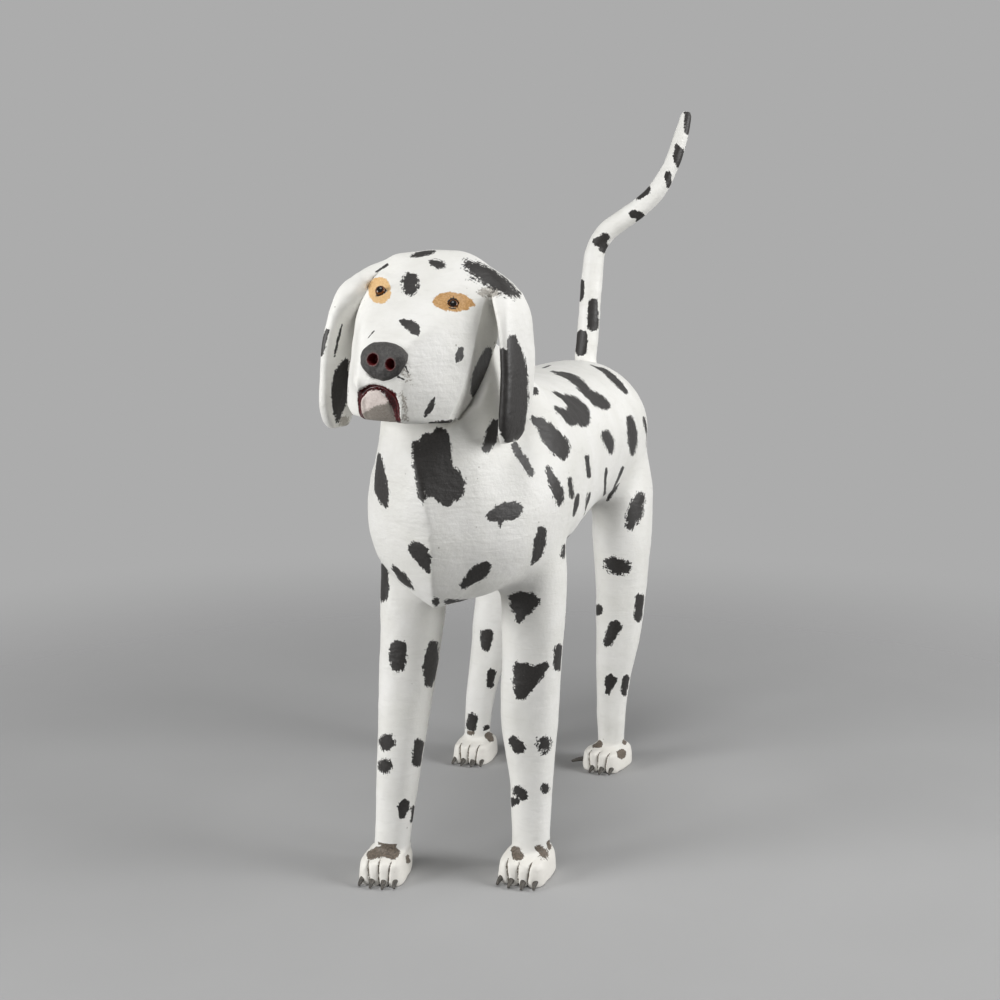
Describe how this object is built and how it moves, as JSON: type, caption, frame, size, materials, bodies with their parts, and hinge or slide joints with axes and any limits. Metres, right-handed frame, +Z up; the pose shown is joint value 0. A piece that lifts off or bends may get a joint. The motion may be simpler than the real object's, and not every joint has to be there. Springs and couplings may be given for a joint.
{
  "type": "carved wooden dog",
  "caption": "Life-size carved wooden Dalmatian dog standing square, painted white with black dabs, with glass eyes, hanging ears, dark peg claws and a raised bent tail.",
  "frame": {"origin": "centre of the outline's box on the floor the paws stand on", "axes": "+Z up, the dog looks along -Y, +X is the dog's own left"},
  "size_m": [0.3146, 0.7469, 0.956],
  "materials": {
    "white_paint": "brushed white house paint with black dabs over carved wood, worn and lightly soiled",
    "paw_paint": "cream paint over carved wood, knife-cut toe lines, worn brown on top",
    "nose_paint": "matt charcoal paint over carved wood, dark red inside the nostrils",
    "claw": "dark stained whittled pegs",
    "glass_eye": "stock brown glass eye with a black pupil",
    "dowel": "bare hardwood dowel, glued",
    "nail": "wire nail, set under filler"
  },
  "bodies": {
    "root": {"trunk": "white_paint", "head": "white_paint", "left_ear": "white_paint", "right_ear": "white_paint", "left_eye": "glass_eye", "right_eye": "glass_eye", "nose": "nose_paint", "front_left_leg": "white_paint", "front_right_leg": "white_paint", "rear_left_leg": "white_paint", "rear_right_leg": "white_paint", "front_left_paw": "paw_paint", "front_right_paw": "paw_paint", "rear_left_paw": "paw_paint", "rear_right_paw": "paw_paint", "front_left_claw_1": "claw", "front_left_claw_2": "claw", "front_left_claw_3": "claw", "front_left_claw_4": "claw", "front_right_claw_1": "claw", "front_right_claw_2": "claw", "front_right_claw_3": "claw", "front_right_claw_4": "claw", "rear_left_claw_1": "claw", "rear_left_claw_2": "claw", "rear_left_claw_3": "claw", "rear_left_claw_4": "claw", "rear_right_claw_1": "claw", "rear_right_claw_2": "claw", "rear_right_claw_3": "claw", "rear_right_claw_4": "claw", "tail": "white_paint", "neck_dowel": "dowel", "front_left_dowel": "dowel", "front_right_dowel": "dowel", "rear_left_dowel": "dowel", "rear_right_dowel": "dowel", "front_left_ankle_dowel": "dowel", "front_right_ankle_dowel": "dowel", "rear_left_ankle_dowel": "dowel", "rear_right_ankle_dowel": "dowel", "left_ear_nails": "nail", "right_ear_nails": "nail"}
  },
  "joints": []
}
